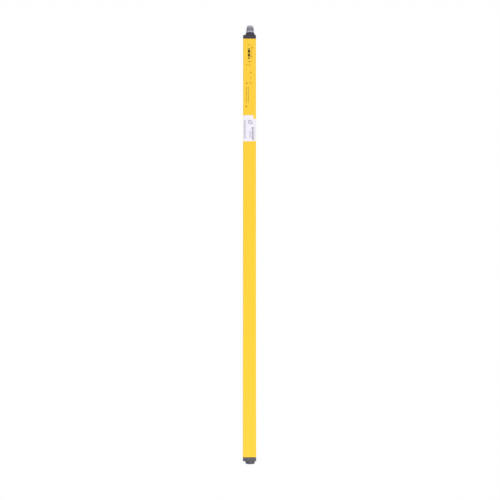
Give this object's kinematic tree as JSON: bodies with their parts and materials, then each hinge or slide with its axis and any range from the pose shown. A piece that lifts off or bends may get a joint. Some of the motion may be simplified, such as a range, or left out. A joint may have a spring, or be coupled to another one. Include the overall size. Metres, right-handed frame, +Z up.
{
  "type": "safety light curtain",
  "caption": "Slim yellow safety light curtain bar with black end caps, round swivel bosses at both ends, a filter window along one side and a capped round plug at the top.",
  "frame": {"origin": "middle of the lower swivel boss's round wall, on the swivel axis", "axes": "+Z up the bar towards the plug, +X the side with the window, -Y the plain side with the stickers"},
  "size_m": [0.048, 0.0402, 1.612],
  "materials": {
    "yellow_coat": "powder-coated aluminium extrusion, smooth satin yellow",
    "cap_nylon": "black glass-filled nylon moulding",
    "window_filter": "dark filter pane, black with a deep red cast",
    "seal_rubber": "black rubber",
    "black_moulding": "matt black moulding inside the bar",
    "lens_plastic": "clear red tinted lens plastic",
    "circuit_board": "green solder resist on a circuit board",
    "component_black": "black moulded electronic parts",
    "diode_plastic": "dark violet diode package",
    "indicator_plastic": "milky indicator lamp",
    "screw_steel": "zinc-plated steel screws",
    "plug_metal": "nickel-plated brass shell",
    "pin_brass": "gold-flashed contact pins",
    "ribbon_film": "grey flat lead",
    "dust_cap_plastic": "cloudy grey polyethylene",
    "sticker_paper": "white satin label film"
  },
  "bodies": {
    "root": {"board_links": "component_black", "cap_screws": "screw_steel", "control_board": "circuit_board", "control_components": "component_black", "control_header": "component_black", "display_board": "circuit_board", "display_carrier": "black_moulding", "dust_cap": "dust_cap_plastic", "emitter_board_01": "circuit_board", "emitter_board_02": "circuit_board", "emitter_board_03": "circuit_board", "emitter_board_04": "circuit_board", "emitter_board_05": "circuit_board", "emitter_board_06": "circuit_board", "emitter_board_07": "circuit_board", "emitter_board_08": "circuit_board", "emitter_board_09": "circuit_board", "emitter_board_10": "circuit_board", "front_window": "window_filter", "housing_profile": "yellow_coat", "infrared_emitters": "diode_plastic", "lens_strip_01": "lens_plastic", "lens_strip_02": "lens_plastic", "lens_strip_03": "lens_plastic", "lens_strip_04": "lens_plastic", "lens_strip_05": "lens_plastic", "lens_strip_06": "lens_plastic", "lens_strip_07": "lens_plastic", "lens_strip_08": "lens_plastic", "lens_strip_09": "lens_plastic", "lens_strip_10": "lens_plastic", "lower_cap_seal": "seal_rubber", "lower_end_cap": "cap_nylon", "narrow_sticker": "sticker_paper", "optics_body_01": "black_moulding", "optics_body_02": "black_moulding", "optics_body_03": "black_moulding", "optics_body_04": "black_moulding", "optics_body_05": "black_moulding", "optics_body_06": "black_moulding", "optics_body_07": "black_moulding", "optics_body_08": "black_moulding", "optics_body_09": "black_moulding", "optics_body_10": "black_moulding", "plug_board": "circuit_board", "plug_insert": "component_black", "plug_lock_nut": "plug_metal", "plug_pins": "pin_brass", "plug_seal": "seal_rubber", "plug_shell": "plug_metal", "ribbon_header": "component_black", "ribbon_lead": "ribbon_film", "seven_segment_display": "component_black", "status_lights": "indicator_plastic", "upper_cap_seal": "seal_rubber", "upper_end_cap": "cap_nylon", "wide_sticker": "sticker_paper", "window_gasket_left": "seal_rubber", "window_gasket_right": "seal_rubber"}
  },
  "joints": []
}
